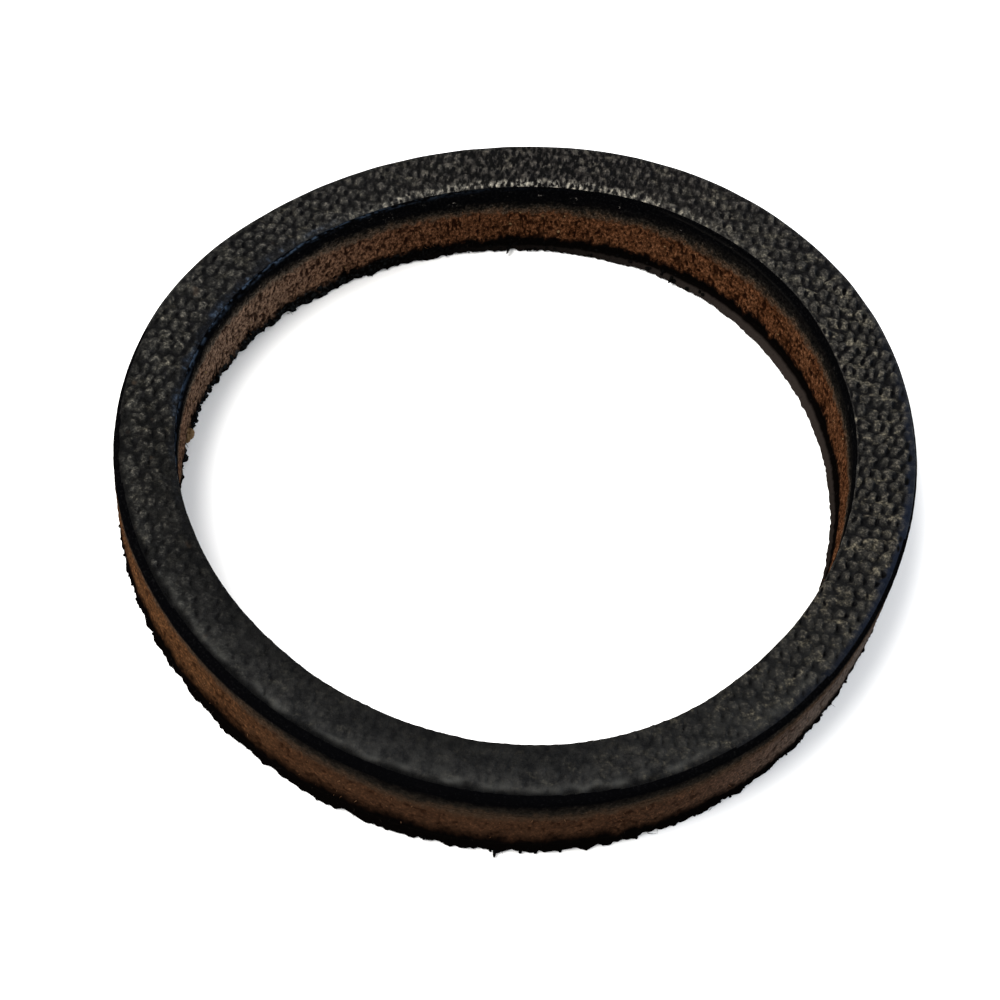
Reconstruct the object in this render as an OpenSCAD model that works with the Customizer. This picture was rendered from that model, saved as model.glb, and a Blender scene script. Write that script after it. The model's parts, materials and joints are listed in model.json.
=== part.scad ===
// Leather ring ligature for a saxophone mouthpiece.
// A closed ring, punched out of a bonded stack of leather, slides over the
// mouthpiece and the reed and grips them by the snug fit of its bore.
// The bore's axis is Z, the underside lies on Z = 0, and the embossed grain
// side faces up.

/* [Ring] */
// Diameter of the bore, snug round an alto mouthpiece with its reed
bore_d = 25.6; // [22:0.1:32]
// Width of the leather wall, from the bore to the outside
wall_w = 2.3; // [1.8:0.1:4]

/* [Layers] */
// Thickness of the embossed black facing on top
facing_t = 1.05; // [0.8:0.05:2]
// Thickness of the tan core
core_t = 2.4; // [1:0.05:4]
// Thickness of the black backing underneath
backing_t = 0.75; // [0.4:0.05:1.5]
// Thickness of each film of contact cement
cement_t = 0.05; // [0.02:0.01:0.1]

/* [Edges] */
// Radius of the burnished edge round the outside of the facing
outer_edge_r = 0.35; // [0.1:0.05:0.7]
// Radius of the worn edge round the bore of the facing
bore_edge_r = 0.1; // [0.05:0.05:0.5]
// Radius of the soft edges of the backing
backing_edge_r = 0.1; // [0.05:0.05:0.3]

/* [Hidden] */
bore_r = bore_d / 2;
outer_r = bore_r + wall_w;

// Heights of the faces between the layers, counted from the underside
backing_top = backing_t;
core_base = backing_top + cement_t;
core_top = core_base + core_t;
facing_base = core_top + cement_t;
ring_top = facing_base + facing_t;

// Steps of a full circle: the rings, and the small rounds of their edges
ring_steps = 180;
edge_steps = 48;

// The circle that rounds one edge of a section, centred on (x, z)
module edge_round(x, z, r) {
  translate([x, z]) circle(r = r, $fn = edge_steps);
}

// A plain washer with the ring's own bore and outside
module layer(base, thickness) {
  rotate_extrude($fn = ring_steps)
    translate([bore_r, base])
      square([wall_w, thickness]);
}

// Section of the facing: square below, rounded along both top edges
module facing_section() {
  shoulder = ring_top - outer_edge_r;
  lip = ring_top - bore_edge_r;
  intersection() {
    translate([bore_r, facing_base]) square([wall_w, facing_t]);
    union() {
      translate([bore_r, facing_base]) square([wall_w, shoulder - facing_base]);
      translate([bore_r, facing_base])
        square([wall_w - outer_edge_r, lip - facing_base]);
      translate([bore_r + bore_edge_r, facing_base])
        square([wall_w - bore_edge_r - outer_edge_r, facing_t]);
      edge_round(outer_r - outer_edge_r, shoulder, outer_edge_r);
      edge_round(bore_r + bore_edge_r, lip, bore_edge_r);
    }
  }
}

// Section of the backing: flat on top, rounded along its lower outside edge
module backing_section() {
  union() {
    translate([bore_r, 0]) square([wall_w - backing_edge_r, backing_t]);
    translate([bore_r, backing_edge_r])
      square([wall_w, backing_t - backing_edge_r]);
    edge_round(outer_r - backing_edge_r, backing_edge_r, backing_edge_r);
  }
}

// Black facing: the embossed and finished grain side of the stack
module grain_facing() {
  color([0.09, 0.09, 0.095])
    rotate_extrude($fn = ring_steps) facing_section();
}

// Contact cement between the facing and the core
module upper_cement_film() {
  color([0.16, 0.13, 0.09]) layer(core_top, cement_t);
}

// Thick core of undyed tan leather, which gives the ring its stiffness
module leather_core() {
  color([0.46, 0.28, 0.17]) layer(core_base, core_t);
}

// Contact cement between the core and the backing
module lower_cement_film() {
  color([0.16, 0.13, 0.09]) layer(backing_top, cement_t);
}

// Black backing: the napped flesh side, which the ring rests on
module flesh_backing() {
  color([0.05, 0.045, 0.045])
    rotate_extrude($fn = ring_steps) backing_section();
}

grain_facing();
upper_cement_film();
leather_core();
lower_cement_film();
flesh_backing();
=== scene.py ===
"""Leather ring ligature for an alto saxophone mouthpiece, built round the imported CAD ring.

The ring is a bonded stack: an embossed black facing, a tan core and a napped black backing.
Each layer is one closed mesh, made by carrying a section round the bore's axis and pushing its
points in or out: pebbles on the grain face, fibres and pores on the cut walls, nap underneath.
Lengths in this file are in millimetres until a mesh is made. Blender's own units are metres.
"""

import json
import math

import bpy
import numpy as np
from mathutils import Matrix, Vector


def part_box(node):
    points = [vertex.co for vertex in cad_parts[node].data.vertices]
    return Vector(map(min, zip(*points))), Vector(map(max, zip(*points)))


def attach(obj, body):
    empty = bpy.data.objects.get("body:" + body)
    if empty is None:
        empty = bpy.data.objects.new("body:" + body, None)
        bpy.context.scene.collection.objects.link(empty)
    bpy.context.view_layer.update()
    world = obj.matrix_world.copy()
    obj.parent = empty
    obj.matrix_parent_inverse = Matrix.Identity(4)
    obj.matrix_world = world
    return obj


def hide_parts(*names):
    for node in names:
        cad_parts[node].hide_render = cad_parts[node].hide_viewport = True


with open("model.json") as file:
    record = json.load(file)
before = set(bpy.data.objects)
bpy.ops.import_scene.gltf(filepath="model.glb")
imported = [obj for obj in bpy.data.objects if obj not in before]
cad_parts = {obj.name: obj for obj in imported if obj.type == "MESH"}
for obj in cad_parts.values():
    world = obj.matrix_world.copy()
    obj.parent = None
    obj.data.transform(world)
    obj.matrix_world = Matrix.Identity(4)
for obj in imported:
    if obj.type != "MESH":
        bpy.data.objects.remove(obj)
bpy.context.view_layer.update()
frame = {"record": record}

MM = 0.001
TURN = 2 * math.pi
SHARP = math.radians(62)

# ---- sizes, from the frame

bore_mount = next(m for m in frame["record"]["mounts"] if m["name"] == "bore")
BORE_R = bore_mount["dims"]["r_mm"]
OUTER_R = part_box("leather_core")[1].x / MM
WALL_W = OUTER_R - BORE_R
MID_R = (BORE_R + OUTER_R) / 2
RING_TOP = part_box("grain_facing")[1].z / MM
FACING_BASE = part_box("grain_facing")[0].z / MM
CORE_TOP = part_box("leather_core")[1].z / MM
CORE_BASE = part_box("leather_core")[0].z / MM
BACKING_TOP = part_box("flesh_backing")[1].z / MM

# Roundings of the facing's two top edges and of the backing's lower edges
SHOULDER_R, LIP_R = 0.35, 0.10
HEM_R = 0.10

# A soft ring lies a little out of round: shares of the radius, and the angles that turn them
OVAL, OVAL_AT = 0.026, math.radians(32)
THREE_LOBED, THREE_LOBED_AT = 0.018, math.radians(152)

# The backing's lower edge spreads into the bore, more at one place, where the wider foot stands in
# for a shadow on the floor, and less at another
SPREAD, SPREAD_UNDER_SHADOW, SPREAD_LESS = 0.08, 0.32, 0.20

# Grain: lumps stand in staggered rows that run straight across the hide, each with a bite to
# one side. A half size is how far a lump or bite reaches from its middle, across and along.
# The bites are darkened in the colour with painted shadow.
LUMP_PITCH = 0.44
LUMP_ROW = 0.55
LUMP_HALF = (0.205, 0.27)
LUMP_DEPTH = 0.13
BITE_AT = (0.19, -0.05)
BITE_HALF = (0.095, 0.16)
BITE_DEPTH = 0.08
PLAIN_RIM = 0.18

# The burr that the knife left in the bore: its first and last angle in degrees, how far below
# the top it starts, how much further down it ends, and its half width
BURR_FROM, BURR_TO = 74, 36
BURR_DOWN, BURR_DROP = 0.28, 0.55
BURR_HALF = 0.05

# Heights on the cut walls, as bore side and outside: where the black dye from the grain has
# faded out and where it is full, and the middle of the torn edge of the black from below
DYE_GONE, DYE_FULL = (2.2, 2.4), (3.4, 4.4)
FLESH_BLACK = (0.84, 1.5)

# Columns round each layer
FACING_STEPS = 1440
OTHER_STEPS = 1300

# Faces closer than this to a wall or a joint count as lying in it
CLOSE = 0.02

# ---- places round the ring

# Where each thing is strongest, and over how many degrees to either side it fades. Degrees
# count anticlockwise from +X, so the front is at 270, the back at 90 and the left at 180.

FRONT, BACK = (265, 55), (85, 60)

# Shape: where the hem spreads into the bore, widest where it stands in for a shadow on the floor,
# where the bore is tighter, and the outside's dent and swellings
SPREAD_UNDER_SHADOW_AT, SPREAD_LESS_AT = (37, 35), (172, 25)
TIGHT_FRONT, TIGHT_CORNER = (275, 60), (322, 13)
DENT_AT, SWELLING_RIGHT, SWELLING_CORNER = (140, 14), (2, 24), (322, 14)

# Cut walls in the bore: how the knife left them, where the tan is paler, where glints on the hem
# are painted, and where a floor shadow is painted
ROUGH_CUT, CLEAN_CUT = (165, 30), (37, 40)
PALER_BORE_LEFT, HEM_GLINT_PAINTED, FLOOR_SHADOW_PLACE = (162, 30), (160, 32), (37, 45)

# Cut wall outside: bright tan at the front left, pale haze and little black at the front right
SUNNY, HAZY, THIN_BLACK = (218, 24), (334, 22), (322, 34)

# Relief of the grain: where it is flatter
FLAT_FRONT, FLAT_BACK, FLAT_LEFT = (262, 48), (95, 42), (188, 35)

# Finish of the grain: sides with their own speckle, places that are worn, and places with painted
# highlights, reflections and shade
LEFT, CORNER = (190, 35), (318, 28)
LIP_RUBBED, LIP_HIGHLIGHT_PAINTED, LIP_REFLECTION_PAINTED = (168, 36), (98, 36), (158, 32)
DULL_LEFT, DULL_BACK = (185, 50), (95, 45)
WARM, SHADE_PAINTED_FRONT_LEFT, RIM_SHEEN_PAINTED, DUSTY = (340, 58), (224, 22), (-12, 32), (95, 70)
WIDE_RIM, SHADED_LEFT = (208, 24), (213, 26)


# ---- numbers that look random

def table_noise(u, v, seed, cells_round=256):
    """Smooth noise from -1 to 1 on a seeded table. It repeats after cells_round steps of u."""
    rows = 97
    table = np.random.default_rng(seed).uniform(-1, 1, (cells_round, rows))
    u, v = np.broadcast_arrays(np.asarray(u, float), np.asarray(v, float))
    iu, iv = np.floor(u).astype(int), np.floor(v).astype(int)
    fu, fv = u - iu, v - iv
    fu, fv = fu * fu * (3 - 2 * fu), fv * fv * (3 - 2 * fv)
    a = table[iu % cells_round, iv % rows]
    b = table[(iu + 1) % cells_round, iv % rows]
    c = table[iu % cells_round, (iv + 1) % rows]
    d = table[(iu + 1) % cells_round, (iv + 1) % rows]
    return (a * (1 - fu) + b * fu) * (1 - fv) + (c * (1 - fu) + d * fu) * fv


def wall_noise(theta, height, size, seed, stretch=1.0):
    """Noise on a wall of the ring, with grains size wide and size * stretch high."""
    cells = max(3, round(TURN * MID_R / size))
    return table_noise(theta / TURN * cells, height / (size * stretch), seed, cells)


def face_noise(x, y, size, seed):
    """Noise on a face of the ring, with grains of that size."""
    return table_noise(x / size, y / size, seed)


def ease(value, low, high):
    """0 below low, 1 above high and smooth between."""
    t = np.clip((value - low) / (high - low), 0, 1)
    return t * t * (3 - 2 * t)


# ---- the ring as a swept section

def round_factor(theta):
    """How far the soft ring is out of round at each angle, as a factor on its radius."""
    return (1 + OVAL * np.cos(2 * (theta - OVAL_AT))
            + THREE_LOBED * np.cos(3 * theta - THREE_LOBED_AT))


def towards(theta, place):
    """1 at one place round the ring, falling to 0 over its spread of degrees to either side."""
    degrees, spread = place
    away = (theta - math.radians(degrees) + math.pi) % TURN - math.pi
    return np.exp(-(away / math.radians(spread)) ** 2)


def left_bore(theta, radius):
    """1 on the bore's left side, where the cut is roughest."""
    return towards(theta, ROUGH_CUT) * (radius < MID_R)


def right_bore(theta, radius):
    """1 on the bore's right side, where the cut is cleanest and the backing's foot spreads in to
    stand in for a shadow on the floor.
    """
    return towards(theta, CLEAN_CUT) * (radius < MID_R)


def lean(theta, radius, height):
    """How far in towards the axis a point stands: the backing's spread lower edge, widest where it
    stands in for a shadow on the floor, and slight dents and swellings all the way up."""
    near_bore = 1 - ease(radius, BORE_R, MID_R)
    near_outside = ease(radius, MID_R, OUTER_R)
    spread = (SPREAD + SPREAD_UNDER_SHADOW * towards(theta, SPREAD_UNDER_SHADOW_AT)
              - SPREAD_LESS * towards(theta, SPREAD_LESS_AT))
    tight = 0.05 * towards(theta, TIGHT_FRONT) + 0.07 * towards(theta, TIGHT_CORNER)
    dent = (0.09 * towards(theta, DENT_AT) - 0.08 * towards(theta, SWELLING_RIGHT)
            - 0.06 * towards(theta, SWELLING_CORNER))
    foot = 1 - ease(height, 0.1, 0.5)
    return near_bore * (foot * spread + tight) + near_outside * dent


def run(start, end, out, count):
    """count points of a straight run of section, each with its outward direction."""
    t = np.linspace(0, 1, count, endpoint=False)[:, None]
    points = np.array(start) * (1 - t) + np.array(end) * t
    return np.hstack([points, np.tile(np.array(out, float), (count, 1))])


def bend(centre, radius, start, end, count):
    """count points of a round edge from angle start to end in degrees."""
    a = np.radians(np.linspace(start, end, count, endpoint=False))
    out = np.stack([np.cos(a), np.sin(a)], 1)
    return np.hstack([np.array(centre) + radius * out, out])


def ring_mesh(name, section, steps, push, marks):
    """A closed ring. section is rows of radius, height and outward direction, walked round the
    section once. push gives each point's way out in millimetres, and marks the values that its
    material reads, both from angle, radius and height."""
    theta = (np.arange(steps) / steps * TURN)[:, None]
    radius, height, out_r, out_z = (section[None, :, k] for k in range(4))
    moved = push(theta, radius, height)
    r = (radius + out_r * moved - lean(theta, radius, height)) * round_factor(theta)
    z = np.maximum(height + out_z * moved, 0)
    points = np.stack([r * np.cos(theta), r * np.sin(theta), z], -1).reshape(-1, 3)
    rows = section.shape[0]
    here = np.arange(steps * rows).reshape(steps, rows)
    ahead = np.roll(here, -1, 0)
    quads = np.stack([here, ahead, np.roll(ahead, -1, 1), np.roll(here, -1, 1)], -1)
    obj = mesh_object(name, points, quads.reshape(-1, 4))
    for mark, values in marks(theta, radius, height).items():
        values = np.broadcast_to(values, (steps, rows)).astype(np.float32)
        attribute = obj.data.attributes.new(mark, "FLOAT", "POINT")
        attribute.data.foreach_set("value", values.ravel())
    obj.data.set_sharp_from_angle(angle=SHARP)
    return obj


def mesh_object(name, points, faces):
    """A smooth-shaded mesh object from points in millimetres and faces of one size."""
    points, faces = np.asarray(points, float), np.asarray(faces, int)
    sides = faces.shape[1]
    mesh = bpy.data.meshes.new(name)
    mesh.vertices.add(len(points))
    mesh.vertices.foreach_set("co", (points * MM).astype(np.float32).ravel())
    mesh.loops.add(faces.size)
    mesh.loops.foreach_set("vertex_index", faces.astype(np.int32).ravel())
    mesh.polygons.add(len(faces))
    mesh.polygons.foreach_set("loop_start", np.arange(0, faces.size, sides, dtype=np.int32))
    mesh.polygons.foreach_set("loop_total", np.full(len(faces), sides, np.int32))
    mesh.update(calc_edges=True)
    mesh.validate()
    mesh.polygons.foreach_set("use_smooth", np.ones(len(mesh.polygons), bool))
    return new_object(name, mesh)


def new_object(name, data):
    """An object in the scene from mesh, camera or light data."""
    obj = bpy.data.objects.new(name, data)
    bpy.context.scene.collection.objects.link(obj)
    return obj


# ---- cut walls of all the layers

def by_side(radius, pair):
    """The first of a pair on the bore side of the wall, the second on the outside."""
    return np.where(radius > MID_R, pair[1], pair[0])


def on_wall(radius):
    """1 on the two cut walls, 0 on the flat faces where the layers meet."""
    return (np.minimum(abs(radius - BORE_R), abs(radius - OUTER_R)) < CLOSE) * 1.0


def sunny_side(theta, radius):
    """Share of the outside wall, front left, where the tan is bright and the dye is thin."""
    return (radius > MID_R) * towards(theta, SUNNY)


def hazy_side(theta, radius):
    """Share of the outside wall, front right, that has gone pale and grey."""
    return (radius > MID_R) * towards(theta, HAZY)


def dye(theta, radius, height):
    """Black in the cut walls: soaked down from the grain, and torn up from the flesh side."""
    speckle = (0.16 * wall_noise(theta, height, 0.13, 74, 1.5)
               + 0.10 * wall_noise(theta, height, 0.5, 75))
    rough, sunny = left_bore(theta, radius), sunny_side(theta, radius)
    shallow = 0.5 * rough + 0.8 * sunny + 0.5 * hazy_side(theta, radius)
    above = ease(height + speckle - shallow, by_side(radius, DYE_GONE), by_side(radius, DYE_FULL))
    shoulder = (radius > MID_R) * ease(height, RING_TOP - 0.40, RING_TOP - 0.24)
    above = np.maximum(above, shoulder)
    torn = (0.16 * wall_noise(theta, 0, 0.55, 71) + 0.10 * wall_noise(theta, 0, 0.2, 72)
            + 0.10 * wall_noise(theta, height, 0.12, 73, 1.5))
    thin = (radius > MID_R) * towards(theta, THIN_BLACK)
    edge = (by_side(radius, FLESH_BLACK) + torn * (1 + rough)
            + 0.14 * sunny - 0.03 * rough - 0.38 * thin)
    soft = by_side(radius, (0.20, 0.65)) + 0.2 * rough - 0.22 * thin
    below = 1 - ease(height, edge - soft, edge + soft)
    return above, below


def pores(theta, radius, height):
    """Dark gaps between fibre bundles on a cut wall, 1 at the deepest."""
    fine_bore = wall_noise(theta, height, 0.10, 50, 1.9)
    fine_outside = wall_noise(theta + 1.0, height, 0.12, 52, 1.8)
    fine = by_side(radius, (fine_bore, fine_outside))
    coarse = wall_noise(theta, height, 0.25, 51, 1.7)
    return by_side(radius, (1.0, 0.55)) * ease(0.95 * fine + 0.25 * coarse, 0.15, 0.65)


def wall_push(theta, radius, height):
    """Roughness of the cut walls: tight where dye has sealed the fibres, open in the tan."""
    above, below = dye(theta, radius, height)
    bundle = (0.020 * wall_noise(theta, height, 0.14, 41, 1.8)
              + 0.014 * wall_noise(theta, height, 0.08, 42, 1.4)
              + 0.020 * wall_noise(theta, height, 0.7, 43))
    gap = pores(theta, radius, height)
    tight = (0.012 * wall_noise(theta, height, 0.17, 22, 0.7)
             + 0.016 * wall_noise(theta, height, 0.6, 23, 0.5))
    torn = (0.06 * wall_noise(theta, height, 0.42, 81, 3.0)
            + 0.045 * wall_noise(theta, height, 0.16, 82, 2.0)
            + 0.025 * wall_noise(theta, height, 0.08, 83, 1.5))
    rough = left_bore(theta, radius)
    torn = torn * (1 - 0.6 * right_bore(theta, radius) + 0.7 * rough)
    hem = 1 - ease(height - 0.4 * rough, 0.15, 0.75)
    tan = bundle - 0.055 * gap * (1 - 0.7 * below)
    return above * tight + (1 - above) * ((1 - hem) * tan + hem * (0.4 * tan + torn))


def wall_marks(theta, radius, height):
    """Marks that every cut wall has."""
    above, below = dye(theta, radius, height)
    return {"above": above, "below": below, "outside": radius > MID_R,
            "paler_bore": (radius < MID_R) * towards(theta, PALER_BORE_LEFT),
            "sunny": sunny_side(theta, radius), "hazy": hazy_side(theta, radius),
            "front": towards(theta, FRONT),
            "sooty": right_bore(theta, radius) * (1 - ease(height, 3.35, 3.6)),
            "pore": on_wall(radius) * pores(theta, radius, height)}


# ---- grain facing

def grain_relief(x, y):
    """Embossed grain: how high its lumps stand, 0 to 1, and the bite beside each lump."""
    x, y = (x + 0.15 * face_noise(x, y, 1.7, 11) + 0.06 * face_noise(x, y, 0.34, 13),
            y + 0.15 * face_noise(x, y, 1.9, 12) + 0.06 * face_noise(x, y, 0.30, 14))
    row, column = y / LUMP_ROW, x / LUMP_PITCH
    home_row = np.floor(row).astype(int)
    size = 128
    jitter = np.random.default_rng(5).uniform(-1, 1, (size, size, 5))
    lump = np.zeros(np.broadcast(x, y).shape)
    bite = np.zeros(lump.shape)
    for step_row in (-1, 0, 1, 2):
        r = home_row + step_row
        shift = 0.5 * (r % 2)
        home_column = np.floor(column - shift).astype(int)
        for step_column in (-1, 0, 1, 2):
            c = home_column + step_column
            j = jitter[r % size, c % size]
            away_x = LUMP_PITCH * (column - (c + shift + 0.17 * j[..., 0]))
            away_y = LUMP_ROW * (row - (r + 0.15 * j[..., 1]))
            wide, long = LUMP_HALF[0] + 0.04 * j[..., 2], LUMP_HALF[1] + 0.05 * j[..., 3]
            near = np.clip(1 - (away_x / wide) ** 2 - (away_y / long) ** 2, 0, 1)
            lump = np.maximum(lump, (0.85 + 0.15 * j[..., 4]) * near ** 0.6)
            close = (((away_x - BITE_AT[0]) / BITE_HALF[0]) ** 2
                     + ((away_y - BITE_AT[1]) / BITE_HALF[1]) ** 2)
            bite = np.maximum(bite, (0.65 + 0.35 * j[..., 4]) * np.exp(-close))
    return lump, bite


def facing_section():
    """Up the bore, over the lip, across the grain and down the outside."""
    lip, shoulder = RING_TOP - LIP_R, RING_TOP - SHOULDER_R
    return np.vstack([
        run((BORE_R, FACING_BASE), (BORE_R, lip), (-1, 0), 14),
        bend((BORE_R + LIP_R, lip), LIP_R, 180, 90, 4),
        run((BORE_R + LIP_R, RING_TOP), (OUTER_R - SHOULDER_R, RING_TOP), (0, 1), 31),
        bend((OUTER_R - SHOULDER_R, shoulder), SHOULDER_R, 90, 0, 8),
        run((OUTER_R, shoulder), (OUTER_R, FACING_BASE), (1, 0), 9),
        run((OUTER_R, FACING_BASE), (BORE_R, FACING_BASE), (0, -1), 2),
    ])


def rubbed_lip(theta, radius):
    """1 where the bore's upper edge has been rubbed down smooth, along the left of the ring."""
    patchy = radius - BORE_R + 0.2 * wall_noise(theta, 0, 0.5, 33)
    return towards(theta, LIP_RUBBED) * (1 - ease(patchy, 0.2, 0.46))


def grain_share(theta, radius, height):
    """1 where the lumps show, 0 on the burnished rim and down the walls."""
    inside = ease(OUTER_R - radius, 0.6 * PLAIN_RIM, 1.5 * PLAIN_RIM)
    above = ease(height, RING_TOP - 1.2 * LIP_R, RING_TOP - 0.1 * LIP_R)
    return inside * above * (1 - rubbed_lip(theta, radius))


def knife_ridge(theta, radius, height):
    """A thin burr that the knife left along part of the bore, running down to the right."""
    start, end = math.radians(BURR_FROM), math.radians(BURR_TO)
    along = (theta - start) / (end - start)
    line = RING_TOP - BURR_DOWN - BURR_DROP * along
    ends = ease(along, 0, 0.15) * (1 - ease(along, 0.8, 1))
    close = np.exp(-((height - line) / BURR_HALF) ** 2)
    return ends * close * (radius < BORE_R + LIP_R)


def facing_push(theta, radius, height):
    """Relief of the facing: lumps and bites on top, a rubbed lip, and cut walls below."""
    x, y = radius * np.cos(theta), radius * np.sin(theta)
    lump, bite = grain_relief(x, y)
    crisp = grain_share(theta, radius, height) * (1 - 0.6 * towards(theta, FLAT_FRONT)
                                                  - 0.6 * towards(theta, FLAT_BACK)
                                                  - 0.15 * towards(theta, FLAT_LEFT))
    wear = 0.85 + 0.3 * face_noise(x, y, 2.3, 21)
    relief = LUMP_DEPTH * wear * (lump - 0.75) - BITE_DEPTH * bite
    relief = relief + 0.018 * face_noise(x, y, 0.14, 26) + 0.012 * face_noise(x, y, 0.08, 27)
    swell = 0.018 * face_noise(x, y, 3.1, 24) + 0.012 * face_noise(x, y, 0.9, 25)
    walls = 1 - ease(height, RING_TOP - 0.5, RING_TOP - 0.15)
    return (crisp * relief + (1 - walls) * (swell - 0.14 * rubbed_lip(theta, radius) ** 2)
            + walls * on_wall(radius) * wall_push(theta, radius, height)
            + 0.03 * knife_ridge(theta, radius, height))


def lip_marks(theta, radius, height):
    """Marks along the bore's upper edge: a painted highlight behind, a painted blue reflection
    along the lip on the left, and a rubbed lip left.
    """
    near_lip = 1 - ease(radius - BORE_R, 0.08, 0.48)
    streak = ease(wall_noise(theta, radius, 0.11, 31, 2.5), -0.6, 0.5)
    from_lip = RING_TOP - height + abs(radius - BORE_R)
    streaks = (0.7 * wall_noise(theta, height, 0.4, 32, 0.2)
               + 0.6 * wall_noise(theta, height, 0.11, 36, 0.5))
    # Painted reflection: a streaky blue line just below the lip's edge, as if it caught the sky
    painted_lip_reflection = 1.3 * ease(streaks, -0.1, 0.6) * np.exp(-((from_lip - 0.22) / 0.12) ** 2)
    dust_top = 1 - ease(height, FACING_BASE + 0.3, CORE_TOP + 0.75)
    # Painted highlight: pale streaks along the lip behind, where it catches the light
    return {"worn": near_lip * towards(theta, LIP_HIGHLIGHT_PAINTED) * streak,
            "painted_lip_reflection": painted_lip_reflection * towards(theta, LIP_REFLECTION_PAINTED) * (radius < MID_R),
            "rubbed": rubbed_lip(theta, radius),
            "dusty": towards(theta, DUSTY) * dust_top,
            "ridge": knife_ridge(theta, radius, height)}


def rim_marks(theta, radius, x, y):
    """Marks towards the outside: the burnished shoulder's cover, line, shade and painted cool
    sheen.
    """
    back, front = towards(theta, BACK), towards(theta, FRONT)
    rim = OUTER_R - radius + 0.1 * face_noise(x, y, 0.4, 34)
    edge = 0.12 + 0.24 * front - 0.09 * back + 0.09 * towards(theta, WIDE_RIM)
    near_edge = np.exp(-((rim - 0.55) / 0.16) ** 2) * ease(face_noise(x, y, 0.6, 35), -0.5, 0.6)
    near = np.clip(front + 0.75 * towards(theta, SHADED_LEFT), 0, 1)
    shade = np.maximum(0.72 * near * (1 - ease(radius - BORE_R, 0, WALL_W)),
                       (0.55 + 0.45 * near) * (1 - ease(rim, edge, edge + 0.38)))
    cover = ease(OUTER_R - radius, edge - 0.03, edge + 0.03)
    return cover, {"line": front * near_edge, "shade": shade,
                   "painted_rim_sheen": towards(theta, RIM_SHEEN_PAINTED) * (1 - ease(rim, 0.2, 0.5))}


def facing_marks(theta, radius, height):
    """Marks of the facing. Skin says where the grain finish ends and the sealed edge begins."""
    x, y = radius * np.cos(theta), radius * np.sin(theta)
    lump, bite = grain_relief(x, y)
    grain = grain_share(theta, radius, height)
    front, behind = towards(theta, FRONT), towards(theta, FLAT_BACK)
    left, corner = towards(theta, LEFT), towards(theta, CORNER)
    # The bite mark carries the painted shadow, weaker in front, on the left and at the corner
    bite = bite * (1 - 0.8 * front) * (1 - 0.5 * left) * (1 - 0.4 * corner)
    bite = bite * grain * (1 - behind * (1 - bite))
    spots = 1 - ease(face_noise(x, y, 0.17, 37), -0.6, -0.15)
    lip = ease(height, RING_TOP - 1.6 * LIP_R, RING_TOP - 0.7 * LIP_R)
    cover, rim = rim_marks(theta, radius, x, y)
    return {"lump": lump, "bite": bite, "grain": grain,
            "skin": by_side(radius, (lip, cover)),
            "tick": 1 - (0.85 * left + 0.35 * front + 0.5 * corner) * spots,
            "dull": np.clip(towards(theta, DULL_LEFT) + 0.9 * towards(theta, DULL_BACK), 0, 1),
            "behind": behind, "left": left, "warm": towards(theta, WARM),
            "painted_shade_front_left": towards(theta, SHADE_PAINTED_FRONT_LEFT), "soft": 0.85 * front + 0.15 * corner,
            **rim, **lip_marks(theta, radius, height), **wall_marks(theta, radius, height)}


def make_facing():
    """The embossed black facing, in two finishes."""
    facing = ring_mesh("grain_leather", facing_section(), FACING_STEPS, facing_push, facing_marks)
    give_materials(facing, grain_material(), sealed_edge_material(), "skin")
    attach(facing, "root")
    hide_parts("grain_facing")


def give_materials(obj, skin, edge, mark):
    """Two materials on one piece: skin where a mark is high, edge where it is low."""
    obj.data.materials.append(skin)
    obj.data.materials.append(edge)
    values = np.zeros(len(obj.data.vertices), np.float32)
    obj.data.attributes[mark].data.foreach_get("value", values)
    corners = np.zeros(len(obj.data.loops), np.int32)
    obj.data.loops.foreach_get("vertex_index", corners)
    high = values[corners].reshape(-1, 4).mean(1) > 0.5
    obj.data.polygons.foreach_set("material_index", np.where(high, 0, 1).astype(np.int32))


# ---- tan core

def washer_section(low, high, count):
    """Up the bore in count steps, out across the top, down the outside and back in."""
    return np.vstack([
        run((BORE_R, low), (BORE_R, high), (-1, 0), count),
        run((BORE_R, high), (OUTER_R, high), (0, 1), 2),
        run((OUTER_R, high), (OUTER_R, low), (1, 0), count),
        run((OUTER_R, low), (BORE_R, low), (0, -1), 2),
    ])


def plain_wall_push(theta, radius, height):
    """Rough cut walls and flat joints."""
    return on_wall(radius) * wall_push(theta, radius, height)


def make_core():
    """The thick tan core."""
    section = washer_section(CORE_BASE, CORE_TOP, 34)
    core = ring_mesh("core_leather", section, OTHER_STEPS, plain_wall_push, wall_marks)
    core.data.materials.append(core_material())
    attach(core, "root")
    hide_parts("leather_core")


# ---- napped backing

def backing_section():
    """Up the bore, out across the joint with the core, down the outside and in underneath."""
    return np.vstack([
        bend((BORE_R + HEM_R, HEM_R), HEM_R, 270, 180, 4),
        run((BORE_R, HEM_R), (BORE_R, BACKING_TOP), (-1, 0), 10),
        run((BORE_R, BACKING_TOP), (OUTER_R, BACKING_TOP), (0, 1), 2),
        run((OUTER_R, BACKING_TOP), (OUTER_R, HEM_R), (1, 0), 10),
        bend((OUTER_R - HEM_R, HEM_R), HEM_R, 0, -90, 4),
        run((OUTER_R - HEM_R, 0), (BORE_R + HEM_R, 0), (0, -1), 20),
    ])


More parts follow.
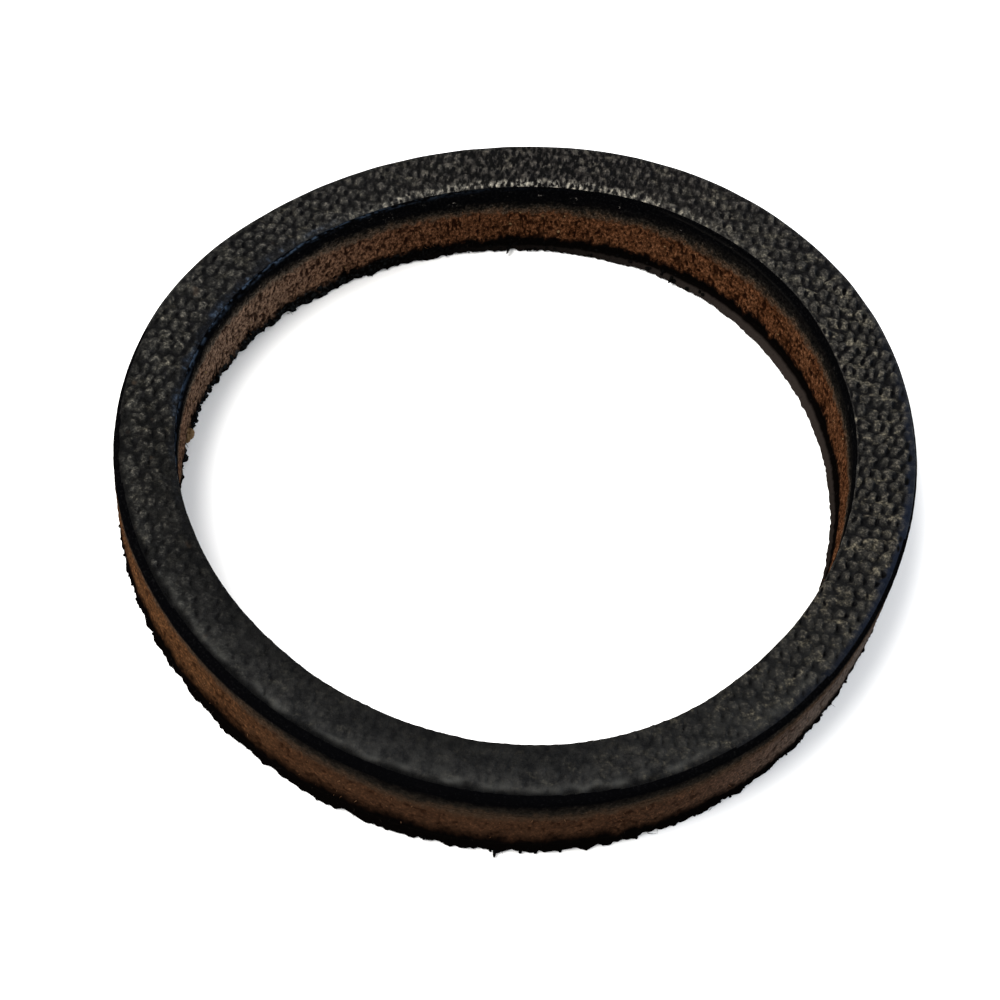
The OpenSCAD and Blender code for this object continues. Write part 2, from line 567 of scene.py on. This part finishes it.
def backing_push(theta, radius, height):
    """Rough cut walls, a flat joint with the core, and nap underneath."""
    x, y = radius * np.cos(theta), radius * np.sin(theta)
    edge_gap = 0.5 * WALL_W - abs(radius - MID_R)
    top_face = (height > BACKING_TOP - CLOSE / 2) * (edge_gap > CLOSE)
    underside = (1 - ease(height, 0, HEM_R)) * ease(edge_gap, 0.3 * HEM_R, 2 * HEM_R)
    nap = 0.02 * face_noise(x, y, 0.16, 84) + 0.02 * face_noise(x, y, 0.5, 85) - 0.04
    return (1 - top_face) * (underside * nap
                             + (1 - underside) * wall_push(theta, radius, height))


def backing_marks(theta, radius, height):
    """Marks of the backing: a painted floor shadow on its spread edge, and painted glints on the
    bore's left.
    """
    inside = radius < MID_R
    return {"painted_floor_shadow": (1 - ease(height, 0.29, 0.36)) * inside * towards(theta, FLOOR_SHADOW_PLACE),
            "painted_hem_glint": inside * towards(theta, HEM_GLINT_PAINTED), **wall_marks(theta, radius, height)}


def make_backing():
    """The black napped backing."""
    section = backing_section()
    backing = ring_mesh("backing_leather", section, OTHER_STEPS, backing_push, backing_marks)
    backing.data.materials.append(nap_material())
    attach(backing, "root")
    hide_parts("flesh_backing")


# ---- cement films

def make_film(name, node):
    """One film of cement, in its own node's place."""
    low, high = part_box(node)[0].z / MM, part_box(node)[1].z / MM
    section = washer_section(low, high, 2)
    film = ring_mesh(name, section, OTHER_STEPS, plain_wall_push, wall_marks)
    film.data.materials.append(cement_material())
    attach(film, "root")
    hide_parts(node)


# ---- loose fibres and crumbs

# Diameter of a strand at its root, its curl as a share of its length, and the lowest height
# that any point may have
HAIR_THICK, TUFT_THICK = 0.028, 0.2
HAIR_CURL, TUFT_CURL = 0.35, 0.2
ON_FLOOR = 0.01

# How many, inside the bore, lowest, highest, droop, length
TAN_FIBRES = [
    (420, True, 0.8, 2.8, -0.1, 0.11),
    (220, False, 1.1, 3.2, -0.1, 0.10),
]
BLACK_FIBRES = [
    (260, True, 0.05, 0.75, -0.5, 0.10),
    (260, False, 0.05, 0.95, -0.5, 0.10),
    (9, True, 0.05, 0.4, -0.3, 0.34),
    (9, False, 0.05, 0.4, -0.3, 0.34),
]

# Angle, inside the bore, height, how far it points outward, along and up, length
BLACK_TUFTS = [
    (99, True, 0.30, 0.9, 0.1, -0.1, 0.42),
    (67, True, 0.30, 0.9, -0.2, -0.1, 0.40),
    (-85, False, 0.20, 0.9, -0.3, -0.1, 0.32),
]

# How many, inside the bore, first and last angle, lowest, highest, smallest and largest size
TAN_CRUMBS = [
    (3, True, 178.5, 180.5, 0.70, 0.95, 0.20, 0.28),
    (30, True, 0, 360, 1.0, 2.6, 0.03, 0.06),
]
# Black crumbs whose grey-blue colour is a painted glint
BLACK_CRUMBS_PAINTED_GLINT = [
    (2, True, 182.5, 184, 0.30, 0.50, 0.16, 0.22),
    (34, True, 138, 178, 0.08, 0.80, 0.07, 0.15),
]
BLACK_CRUMBS = [
    (60, True, 60, 140, 0.05, 0.50, 0.04, 0.09),
    (90, False, 180, 360, 0.05, 0.40, 0.03, 0.07),
    (40, False, 0, 180, 0.05, 0.40, 0.03, 0.07),
]


def fibre_mesh(name, roots, ways, lengths, thick, curl, seed):
    """Tapered hairs, each a bent tube from its root to a point. ways are unit directions."""
    draw = np.random.default_rng(seed)
    sides, joints = 4, 5
    points, quads = [], []
    for root, way, length in zip(roots, ways, lengths):
        bow = np.cross(way, draw.normal(size=3))
        bow /= np.linalg.norm(bow)
        across = np.cross(way, bow)
        radius = thick * draw.uniform(0.6, 1.2) / 2
        base = len(points)
        for k in range(joints):
            t = k / joints
            centre = root + way * length * t + bow * curl * length * t * t
            ring_r = radius * (1 - 0.6 * t)
            for s in range(sides):
                a = TURN * s / sides
                points.append(centre + ring_r * (math.cos(a) * bow + math.sin(a) * across))
        tip = len(points)
        points.append(root + way * length + bow * curl * length)
        foot = len(points)
        points.append(root)
        for s in range(sides):
            n = (s + 1) % sides
            for k in range(joints - 1):
                a, b = base + k * sides + s, base + k * sides + n
                quads += [(a, b, b + sides), (a, b + sides, a + sides)]
            last = base + (joints - 1) * sides
            quads += [(last + s, last + n, tip), (base + n, base + s, foot)]
    points = np.array(points)
    points[:, 2] = np.maximum(points[:, 2], ON_FLOOR)
    return mesh_object(name, points, quads)


def ring_point(theta, radius, height):
    """Points in space on the ring as it really lies, out of round."""
    r = (radius - lean(theta, radius, height)) * round_factor(theta)
    return np.stack([r * np.cos(theta), r * np.sin(theta), height], -1)


def fibres_along(seed, count, inside, low, high, droop):
    """Roots and directions for hairs on one wall between two heights."""
    draw = np.random.default_rng(seed)
    theta = draw.uniform(0, TURN, count)
    height = draw.uniform(low, high, count)
    radius = np.full(count, BORE_R + 0.04 if inside else OUTER_R - 0.04)
    level = np.zeros(count)
    out = np.stack([np.cos(theta), np.sin(theta), level], -1) * (-1 if inside else 1)
    side = np.stack([-np.sin(theta), np.cos(theta), level], -1)
    ways = out + side * draw.normal(0, 0.7, (count, 1))
    ways[:, 2] += droop + draw.normal(0, 0.4, count)
    ways /= np.linalg.norm(ways, axis=1)[:, None]
    return ring_point(theta, radius, height), ways, draw


def make_fibres(name, material, batches, seed):
    """Fine hairs all round the walls, none of them longer than its room above the floor."""
    roots, ways, lengths = [], [], []
    for k, (count, inside, low, high, droop, length) in enumerate(batches):
        r, w, draw = fibres_along(seed + 10 * k, count, inside, low, high, droop)
        hair = length * draw.lognormal(0, 0.35, count)
        down = np.maximum(-w[:, 2], 1e-3)
        floor_gap = np.where(w[:, 2] < 0, (r[:, 2] - ON_FLOOR) / down, hair)
        roots.append(r)
        ways.append(w)
        lengths.append(np.minimum(hair, floor_gap))
    fibres = fibre_mesh(name, np.vstack(roots), np.vstack(ways), np.concatenate(lengths),
                        HAIR_THICK, HAIR_CURL, seed + 5)
    place_fibres(fibres, material)


def crumb_mesh(name, centres, sizes, seed):
    """Small bumpy lumps of torn leather, each a closed ball of triangles."""
    draw = np.random.default_rng(seed)
    around, levels = 11, 7
    points, triangles = [], []
    for centre, size in zip(centres, sizes):
        base = len(points)
        shape = size * draw.uniform(0.7, 1.25, 3)
        points += [centre + shape * (0, 0, 1), centre - shape * (0, 0, 1)]
        for level in range(levels):
            tilt = math.pi * (level + 1) / (levels + 1)
            for k in range(around):
                a = TURN * k / around
                ball = np.array([math.sin(tilt) * math.cos(a), math.sin(tilt) * math.sin(a),
                                 math.cos(tilt)])
                points.append(centre + shape * ball * draw.normal(1, 0.13))
        for k in range(around):
            here, ahead = base + 2 + k, base + 2 + (k + 1) % around
            last = (levels - 1) * around
            triangles += [(base, here, ahead), (base + 1, ahead + last, here + last)]
            for low in range(0, last, around):
                high = low + around
                triangles += [(here + low, here + high, ahead + high),
                              (here + low, ahead + high, ahead + low)]
    points = np.array(points)
    points[:, 2] = np.maximum(points[:, 2], ON_FLOOR)
    return mesh_object(name, points, triangles)


def make_crumbs(name, material, groups, seed):
    """Crumbs of leather that cling to the walls."""
    draw = np.random.default_rng(seed)
    centres, sizes = [], []
    for count, inside, start, end, low, high, smallest, largest in groups:
        theta = np.radians(draw.uniform(start, end, count))
        height = draw.uniform(low, high, count)
        radius = np.full(count, BORE_R if inside else OUTER_R)
        centres.append(ring_point(theta, radius, height))
        sizes.append(draw.uniform(smallest, largest, count))
    crumbs = crumb_mesh(name, np.vstack(centres), np.concatenate(sizes), seed + 1)
    place_fibres(crumbs, material)


def make_tufts(name, material, tufts, seed):
    """A few thicker strands of one sort, each at its own place on the ring."""
    roots, ways, lengths = [], [], []
    for degrees, inside, height, outward, along, up, length in tufts:
        theta = math.radians(degrees)
        out = np.array([math.cos(theta), math.sin(theta), 0]) * (-1 if inside else 1)
        side = np.array([-math.sin(theta), math.cos(theta), 0])
        way = outward * out + along * side + up * np.array([0, 0, 1])
        roots.append(ring_point(theta, BORE_R if inside else OUTER_R, height))
        ways.append(way / np.linalg.norm(way))
        lengths.append(length)
    tufts_mesh = fibre_mesh(name, roots, ways, lengths, TUFT_THICK, TUFT_CURL, seed)
    place_fibres(tufts_mesh, material)


def place_fibres(fibres, material):
    """Loose fibres or crumbs get their material and ride with the ring."""
    fibres.data.materials.append(material)
    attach(fibres, "root")


# ---- materials

# Colours in linear light. Of the grain face:
PLAIN_BLACK = (0.0066, 0.0065, 0.0066)
# Painted shadow inside the bites
PAINTED_BITE_SHADOW = (0.0006, 0.0006, 0.0008)
OLIVE_WEAR_AND_HIGHLIGHT = (0.0370, 0.0350, 0.0292)
# Painted highlight along the lip behind
PAINTED_HIGHLIGHT_GREY = (0.0850, 0.0815, 0.0720)
LINE_GREY = (0.046, 0.046, 0.043)
SCUFF_TAN = (0.034, 0.024, 0.017)
# Painted blue sheen for the right rim
PAINTED_SHEEN_BLUE = (0.0046, 0.0078, 0.0170)
# The rubbed lip's own black, and the blue of a painted reflection along it
LIP_BLACK, PAINTED_REFLECTION_BLUE = (0.0018, 0.0021, 0.0030), (0.0105, 0.0155, 0.0240)
# Of the cut walls:
WALL_OLIVE = (0.0052, 0.0068, 0.0060)
PORE_BROWN = (0.0038, 0.0011, 0.00046)
NAP_BLACK = (0.0009, 0.00068, 0.00061)
LINT_GREY = (0.0760, 0.0699, 0.0608)
# Painted highlight along the knife's burr
PAINTED_BURR_HIGHLIGHT = (0.0122, 0.0114, 0.0099)
# Painted blue reflection on the cut wall just under the lip
PAINTED_EDGE_REFLECTION_BLUE = (0.0270, 0.0400, 0.0600)
TUFT_BROWN = (0.0076, 0.0053, 0.0038)
# Painted grey-blue glints on the hem's tufts
PAINTED_GLINT_GREY = (0.0160, 0.0190, 0.0200)
# Painted shadow of the floor, on the backing's spread foot
PAINTED_FLOOR_SHADOW_BROWN = (0.0150, 0.0118, 0.0102)
CEMENT_BROWN = (0.0046, 0.0038, 0.0030)


class Paint:
    """A small helper for node materials. Coordinates are in millimetres on the object."""

    def __init__(self, name, roughness, specular):
        self.material = bpy.data.materials.new(name)
        self.material.use_nodes = True
        self.tree = self.material.node_tree
        self.shader = self.tree.nodes["Principled BSDF"]
        self.shader.inputs["Roughness"].default_value = roughness
        self.shader.inputs["Specular IOR Level"].default_value = specular
        place = self.node("ShaderNodeTexCoord")
        scale = self.node("ShaderNodeVectorMath", operation="SCALE")
        scale.inputs["Scale"].default_value = 1 / MM
        self.link(place.outputs["Object"], scale.inputs[0])
        self.place = scale.outputs[0]

    def node(self, kind, **settings):
        """A new node with some of its settings."""
        node = self.tree.nodes.new(kind)
        for key, value in settings.items():
            setattr(node, key, value)
        return node

    def link(self, source, target):
        self.tree.links.new(source, target)

    def put(self, value, target):
        """A number, a colour or another node's output, into a socket."""
        if isinstance(value, bpy.types.NodeSocket):
            self.link(value, target)
        else:
            target.default_value = (*value, 1) if hasattr(value, "__len__") else value

    def noise(self, size, detail=3.0, rough=0.6, stretch=(1, 1, 1)):
        """Fractal noise with grains of that size in millimetres."""
        grow = self.node("ShaderNodeVectorMath", operation="MULTIPLY")
        grow.inputs[1].default_value = stretch
        self.link(self.place, grow.inputs[0])
        noise = self.node("ShaderNodeTexNoise")
        noise.inputs["Scale"].default_value = 1 / size
        noise.inputs["Detail"].default_value = detail
        noise.inputs["Roughness"].default_value = rough
        self.link(grow.outputs[0], noise.inputs["Vector"])
        return noise.outputs["Fac"]

    def mark(self, name):
        """One of the marks that ring_mesh stored."""
        return self.node("ShaderNodeAttribute", attribute_name=name).outputs["Fac"]

    def ramp(self, value, *stops):
        """Colours or numbers along a value. A stop is a position and a colour or a number."""
        ramp = self.node("ShaderNodeValToRGB")
        ramp.color_ramp.interpolation = "EASE"
        elements = ramp.color_ramp.elements
        while len(elements) < len(stops):
            elements.new(0.5)
        for element, (position, colour) in zip(elements, stops):
            element.position = position
            if not hasattr(colour, "__len__"):
                colour = (colour,) * 3
            element.color = (*colour, 1)
        self.link(value, ramp.inputs["Fac"])
        return ramp.outputs["Color"]

    def mix(self, share, first, second, blend="MIX"):
        """second over first. Each is a colour or another node's output."""
        mix = self.node("ShaderNodeMix", data_type="RGBA", blend_type=blend)
        for k, value in ((0, share), (6, first), (7, second)):
            self.put(value, mix.inputs[k])
        return mix.outputs[2]

    def tint(self, colour, by, share=1.0):
        """A colour multiplied by another, fully or by a share."""
        return self.mix(share, colour, by, "MULTIPLY")

    def times(self, first, second):
        """One value times another. Each is a number or another node's output."""
        math_node = self.node("ShaderNodeMath", operation="MULTIPLY")
        self.put(first, math_node.inputs[0])
        self.put(second, math_node.inputs[1])
        return math_node.outputs[0]

    def share(self, mark, most):
        """A mark scaled down to reach only that much."""
        return self.times(self.mark(mark), most)

    def finish(self, colour, rough, *bumps):
        """Colour, roughness and any number of bumps, each a height, its depth in millimetres."""
        self.link(colour, self.shader.inputs["Base Color"])
        self.link(rough, self.shader.inputs["Roughness"])
        normal = None
        for height, depth in bumps:
            bump = self.node("ShaderNodeBump")
            bump.inputs["Strength"].default_value = 1
            bump.inputs["Distance"].default_value = depth * MM
            self.link(height, bump.inputs["Height"])
            if normal is not None:
                self.link(normal, bump.inputs["Normal"])
            normal = bump.outputs["Normal"]
        self.link(normal, self.shader.inputs["Normal"])
        return self.material


def grain_material():
    """Black pigment finish: blue-black lumps, olive along the ridges between them that is partly
    wear and partly painted highlight.
    """
    paint = Paint("embossed_black_leather", 0.5, 0.03)
    ridges = paint.ramp(paint.noise(0.40, 3, 0.6, (0.55, 1, 1)), (0.50, 0.0), (0.68, 1.0))
    ridges = paint.times(ridges, paint.ramp(paint.mark("dull"), (0.0, 1.0), (1.0, 0.25)))
    # Painted shade and light: near black down between the lumps, lighter on their crowns
    colour = paint.ramp(paint.mark("lump"), (0.0, (0.0009, 0.0009, 0.0012)),
                        (0.35, (0.0062, 0.0062, 0.0063)), (0.8, (0.0170, 0.0164, 0.0154)))
    flat = paint.ramp(paint.mark("lump"), (0.0, (0.0034, 0.0031, 0.0029)),
                      (0.8, (0.0090, 0.0083, 0.0077)))
    colour = paint.mix(paint.share("behind", 0.8), colour, flat)
    # Olive on the ridges: partly wear, partly painted highlight
    colour = paint.mix(ridges, colour, OLIVE_WEAR_AND_HIGHLIGHT)
    colour = paint.mix(paint.mark("grain"), PLAIN_BLACK, colour)
    # Painted highlight: pale streaks along the lip behind
    colour = paint.mix(paint.mark("worn"), colour, PAINTED_HIGHLIGHT_GREY)
    fleck = paint.noise(0.13, 3, 0.75)
    colour = grain_speckle(paint, fleck, colour)
    colour = grain_wear(paint, fleck, colour)
    # Painted shadow: the bites beside the lumps turned near black
    bite_shadow_share = paint.ramp(paint.mark("bite"), (0.10, 0.0), (0.42, 1.0))
    colour = paint.mix(bite_shadow_share, colour, PAINTED_BITE_SHADOW)
    colour = paint.mix(paint.mark("shade"), colour, (0, 0, 0))
    rough = paint.ramp(paint.mark("grain"), (0.0, 0.36), (1.0, 0.55))
    rough = paint.mix(0.35, rough, paint.ramp(fleck, (0.35, 0.35), (0.7, 0.75)))
    fine, coarse = paint.noise(0.06, 3, 0.65), paint.noise(0.13, 2, 0.5)
    return paint.finish(colour, rough, (fine, 0.03), (coarse, 0.04))


def grain_speckle(paint, fleck, colour):
    """Fine speckle of the grain with some painted glints, stronger in ticks behind, warmer on the
    right and with painted shade front left.
    """
    # Bright flecks are partly painted glints on the lumps
    flecks_and_glints = paint.ramp(fleck, (0.36, (0.20, 0.20, 0.21)), (0.5, 0.78), (0.64, (2.9, 2.8, 2.6)))
    flecks_and_glints = paint.mix(paint.share("behind", 0.6), flecks_and_glints, (0.95, 0.93, 0.92))
    colour = paint.tint(colour, flecks_and_glints)
    colour = paint.tint(colour, paint.mark("tick"))
    # Short bright strokes behind are partly painted glints on the lumps
    ticks_and_glints = paint.ramp(paint.noise(0.17, 2, 0.6, (1, 0.5, 1)), (0.44, 0.0), (0.50, 0.98),
                       (0.63, (2.7, 2.63, 2.5)))
    colour = paint.tint(colour, ticks_and_glints, paint.mark("behind"))
    colour = paint.tint(colour, (1.19, 1.13, 1.03), paint.mark("warm"))
    # Painted shade: the front left of the top darkened and cooled
    return paint.tint(colour, (0.62, 0.64, 0.68), paint.mark("painted_shade_front_left"))


def grain_wear(paint, fleck, colour):
    """Wear of the grain: soft in front, mottled and scuffed left, bare along the rubbed lip."""
    soft = paint.ramp(paint.noise(0.5, 4, 0.65), (0.35, (0.0040, 0.0042, 0.0045)),
                      (0.65, (0.0158, 0.0157, 0.0151)))
    colour = paint.mix(paint.mark("soft"), colour, soft)
    colour = paint.mix(paint.share("line", 0.5), colour, LINE_GREY)
    mottle = paint.ramp(paint.noise(0.5, 6, 0.9, (0.8, 1, 1)), (0.38, (0.10, 0.10, 0.09)),
                        (0.5, (0.90, 0.89, 0.85)), (0.64, (3.2, 3.13, 2.88)))
    colour = paint.tint(colour, mottle, paint.mark("left"))
    scuffs = paint.ramp(paint.noise(0.7, 1, 0.4), (0.68, 0.0), (0.8, 1.0))
    colour = paint.mix(paint.times(scuffs, paint.mark("left")), colour, SCUFF_TAN)
    # Painted sheen: the right rim tinted blue, as if it caught a cool light
    colour = paint.mix(paint.mark("painted_rim_sheen"), colour, PAINTED_SHEEN_BLUE)
    flaws = paint.ramp(fleck, (0.38, 0.25), (0.5, 0.9), (0.66, 2.6))
    # The rubbed lip's bare black, with a painted blue reflection along it
    bare = paint.tint(paint.mix(paint.mark("painted_lip_reflection"), LIP_BLACK, PAINTED_REFLECTION_BLUE), flaws)
    return paint.mix(paint.mark("rubbed"), colour, bare)


def raw_tan(paint, fibre):
    """Tan of a cut wall before any dye: fibre ends, paler and hazy places, and pores."""
    tan = paint.ramp(paint.noise(1.3, 3, 0.6), (0.3, (0.0300, 0.0111, 0.0045)),
                     (0.7, (0.0429, 0.0175, 0.0077)))
    ends = paint.ramp(fibre, (0.36, (0.15, 0.12, 0.10)), (0.48, (0.82, 0.81, 0.79)),
                      (0.66, (2.8, 3.0, 3.3)))
    paler_bore = paint.ramp(fibre, (0.38, (0.022, 0.012, 0.008)), (0.62, (0.170, 0.117, 0.082)))
    hazy = paint.ramp(fibre, (0.38, (0.028, 0.023, 0.019)), (0.62, (0.074, 0.060, 0.051)))
    tan = paint.tint(tan, ends)
    tan = paint.mix(paint.share("outside", 0.40), tan, WALL_OLIVE)
    tan = paint.mix(paint.share("paler_bore", 0.62), tan, paler_bore)
    tan = paint.tint(tan, (1.8, 1.7, 1.35), paint.mark("sunny"))
    tan = paint.mix(paint.share("hazy", 0.8), tan, hazy)
    return paint.mix(paint.ramp(paint.mark("pore"), (0.1, 0.0), (0.8, 0.85)), tan, PORE_BROWN)


def cut_wall(paint):
    """Colour of a cut wall: tan with pores, grey where the dye fades, black above and below."""
    blur = paint.share("front", 0.55)
    fibre = paint.mix(blur, paint.noise(0.12, 4, 0.75, (1, 1, 0.7)), (0.5, 0.5, 0.5))
    speck = paint.mix(blur, paint.noise(0.1, 3, 0.75), (0.5, 0.5, 0.5))
    pale = paint.ramp(speck, (0.36, (0.0061, 0.0038, 0.0023)), (0.5, (0.0281, 0.0171, 0.0106)),
                      (0.68, (0.0684, 0.0448, 0.0304)))
    dusk = paint.ramp(speck, (0.38, (0.0015, 0.0014, 0.0011)), (0.52, (0.0072, 0.0059, 0.0046)),
                      (0.68, (0.0304, 0.0251, 0.0198)))
    black = paint.ramp(speck, (0.5, (0.00068, 0.00068, 0.00084)), (0.75, (0.0046, 0.0046, 0.0047)))
    cream = paint.ramp(speck, (0.36, (0.014, 0.011, 0.008)), (0.6, (0.070, 0.056, 0.042)))
    soot = paint.ramp(speck, (0.38, 0.0008), (0.6, (0.0058, 0.0050, 0.0042)))
    pale = paint.mix(paint.share("paler_bore", 0.8), pale, cream)
    pale = paint.mix(paint.share("outside", 0.2), pale, (0, 0, 0))
    black = paint.mix(paint.share("sooty", 0.55), black, soot)
    colour = raw_tan(paint, fibre)
    for start, full, dyed in ((0.0, 0.3, pale), (0.2, 0.65, dusk), (0.55, 0.97, black)):
        cover = paint.ramp(paint.mark("above"), (start, 0.0), (full, 1.0))
        colour = paint.mix(cover, colour, dyed)
    return paint.mix(paint.mark("below"), colour, NAP_BLACK), fibre


def sealed_edge_material():
    """The facing's cut walls: black dye burnished smooth, with dust caught on it."""
    paint = Paint("sealed_black_edge", 0.5, 0.0)
    colour, fibre = cut_wall(paint)
    lint = paint.ramp(paint.noise(0.16, 3, 0.8), (0.58, 0.0), (0.64, 1.0))
    patches = paint.ramp(paint.noise(0.7, 1, 0.5), (0.60, 0.0), (0.66, 1.0))
    dust = paint.times(paint.times(lint, patches), paint.mark("dusty"))
    colour = paint.mix(dust, colour, LINT_GREY)
    # Painted highlight: a pale line along the knife's burr
    colour = paint.mix(paint.share("ridge", 0.25), colour, PAINTED_BURR_HIGHLIGHT)
    # Painted blue reflection just under the lip
    colour = paint.mix(paint.mark("painted_lip_reflection"), colour, PAINTED_EDGE_REFLECTION_BLUE)
    rough = paint.ramp(paint.noise(0.3, 3, 0.6), (0.35, 0.4), (0.7, 0.7))
    return paint.finish(colour, rough, (fibre, 0.02), (paint.noise(0.05, 2, 0.6), 0.012))


def core_material():
    """Raw cut edge of tan leather: fibre ends, dark pores, and dye above and below."""
    paint = Paint("tan_leather_core", 0.9, 0.0)
    colour, fibre = cut_wall(paint)
    rough = paint.ramp(fibre, (0.3, 0.95), (0.7, 0.75))
    return paint.finish(colour, rough, (fibre, 0.06), (paint.noise(0.035, 2, 0.6), 0.015))


def nap_material():
    """Black-dyed flesh side: soft nap, torn along the cut so that tan shows through."""
    paint = Paint("black_napped_leather", 0.9, 0.0)
    colour, fibre = cut_wall(paint)
    tufts = paint.ramp(paint.noise(0.1, 4, 0.75), (0.6, 0.0), (0.8, 1.0))
    colour = paint.mix(tufts, colour, TUFT_BROWN)
    # Painted glints: grey-blue specks on the hem's tufts on the bore's left
    painted_hem_glint = paint.ramp(paint.noise(0.14, 3, 0.7), (0.52, 0.0), (0.62, 1.0))
    painted_hem_glint = paint.times(paint.times(painted_hem_glint, paint.mark("painted_hem_glint")), paint.mark("below"))
    colour = paint.mix(painted_hem_glint, colour, PAINTED_GLINT_GREY)
    # Painted shadow: the spread foot coloured like the floor's shadow beside the wall
    colour = paint.mix(paint.mark("painted_floor_shadow"), colour, PAINTED_FLOOR_SHADOW_BROWN)
    rough = paint.ramp(fibre, (0.3, 0.95), (0.7, 0.75))
    return paint.finish(colour, rough, (fibre, 0.07))


def cement_material():
    """Dried contact cement, rubbed in flush and stained by the layers beside it."""
    paint = Paint("contact_cement", 0.6, 0.0)
    colour, fibre = cut_wall(paint)
    colour = paint.mix(0.2, colour, CEMENT_BROWN)
    rough = paint.ramp(paint.noise(0.5), (0.3, 0.5), (0.7, 0.75))
    return paint.finish(colour, rough, (fibre, 0.03))


def fibre_material(name, dark, light):
    """A loose fibre or crumb, between two colours."""
    paint = Paint(name, 0.85, 0.0)
    strand = paint.noise(0.2, 3, 0.6)
    colour = paint.ramp(strand, (0.3, dark), (0.7, light))
    rough = paint.ramp(strand, (0.3, 0.9), (0.7, 0.7))
    return paint.finish(colour, rough, (paint.noise(0.03), 0.004))


# ---- stage

VIEW_DISTANCE = 6.17 * OUTER_R
VIEW_ELEVATION = math.radians(58.4)
VIEW_ROLL = math.radians(8.5)
VIEW_TARGET = (-0.58, -0.16, 0.0)
LENS = 84.5
FLOOR_HALF = 3000
FLOOR_Z = -0.02
WORLD_STRENGTH = 1.2


def make_camera():
    """The photograph's viewpoint: from the front, well above, and rolled a little."""
    data = bpy.data.cameras.new("camera")
    data.lens = LENS
    data.sensor_width = 36
    data.clip_start = 0.002
    data.clip_end = 20
    camera = new_object("camera", data)
    stand = Vector((0, -math.cos(VIEW_ELEVATION), math.sin(VIEW_ELEVATION))) * VIEW_DISTANCE * MM
    ahead = (Vector(VIEW_TARGET) * MM - stand).normalized()
    right = ahead.cross(Vector((0, 0, 1))).normalized()
    up = right.cross(ahead)
    level = Matrix((right, up, -ahead)).transposed()
    turned = level @ Matrix.Rotation(VIEW_ROLL, 3, "Z")
    camera.matrix_world = Matrix.Translation(stand) @ turned.to_4x4()
    bpy.context.scene.camera = camera


def area_light(name, where, size, power, colour):
    """A soft round light that looks at the ring. Its place and size are in metres."""
    data = bpy.data.lights.new(name, "AREA")
    data.shape = "DISK"
    data.size = size
    data.energy = power
    data.color = colour
    light = new_object(name, data)
    light.location = where
    light.rotation_euler = (-Vector(where)).to_track_quat("-Z", "Y").to_euler()


def make_stage():
    """A plain pale floor, an even white studio and two soft lights."""
    signs = ((-1, -1), (1, -1), (1, 1), (-1, 1))
    corners = [(x * FLOOR_HALF, y * FLOOR_HALF, FLOOR_Z) for x, y in signs]
    floor = mesh_object("floor", corners, [(0, 1, 2, 3)])
    paint = Paint("floor_paint", 0.9, 0.1)
    colour = paint.ramp(paint.noise(40), (0.3, 0.86), (0.7, 0.88))
    rough = paint.ramp(paint.noise(30), (0.3, 0.88), (0.7, 0.92))
    floor.data.materials.append(paint.finish(colour, rough, (paint.noise(3), 0.001)))
    world = bpy.data.worlds.new("studio")
    world.use_nodes = True
    background = world.node_tree.nodes["Background"]
    background.inputs["Color"].default_value = (1, 1, 1, 1)
    background.inputs["Strength"].default_value = WORLD_STRENGTH
    scene = bpy.context.scene
    scene.world = world
    scene.view_settings.view_transform = "Standard"
    area_light("key", (-0.16, -0.03, 0.34), 0.24, 2.7, (1.0, 0.985, 0.95))
    area_light("cool_window", (0.32, 0.12, 0.07), 0.10, 0.5, (0.5, 0.7, 1.0))


# ---- build

make_camera()
make_stage()
make_facing()
make_core()
make_backing()
make_film("upper_cement_seam", "upper_cement_film")
make_film("lower_cement_seam", "lower_cement_film")

tan_fibre = fibre_material("tan_fibre", (0.045, 0.019, 0.008), (0.12, 0.065, 0.034))
tan_crumb = fibre_material("tan_crumb", (0.050, 0.028, 0.012), (0.155, 0.102, 0.055))
black_fibre = fibre_material("black_fibre", 0.0023, (0.009, 0.007, 0.006))
black_crumb = fibre_material("black_crumb", (0.0008, 0.0008, 0.0009), (0.0022, 0.0021, 0.0020))
# Black crumbs lightened grey-blue by a painted glint
black_crumb_painted_glint = fibre_material("black_crumb_painted_glint", (0.0008, 0.0008, 0.0009),
                               (0.0080, 0.0092, 0.0096))
make_fibres("tan_fibres", tan_fibre, TAN_FIBRES, 200)
make_fibres("black_fibres", black_fibre, BLACK_FIBRES, 300)
make_tufts("black_tufts", black_crumb, BLACK_TUFTS, 410)
make_crumbs("tan_crumbs", tan_crumb, TAN_CRUMBS, 500)
make_crumbs("black_crumbs_painted_glint", black_crumb_painted_glint, BLACK_CRUMBS_PAINTED_GLINT, 510)
make_crumbs("black_crumbs", black_crumb, BLACK_CRUMBS, 520)
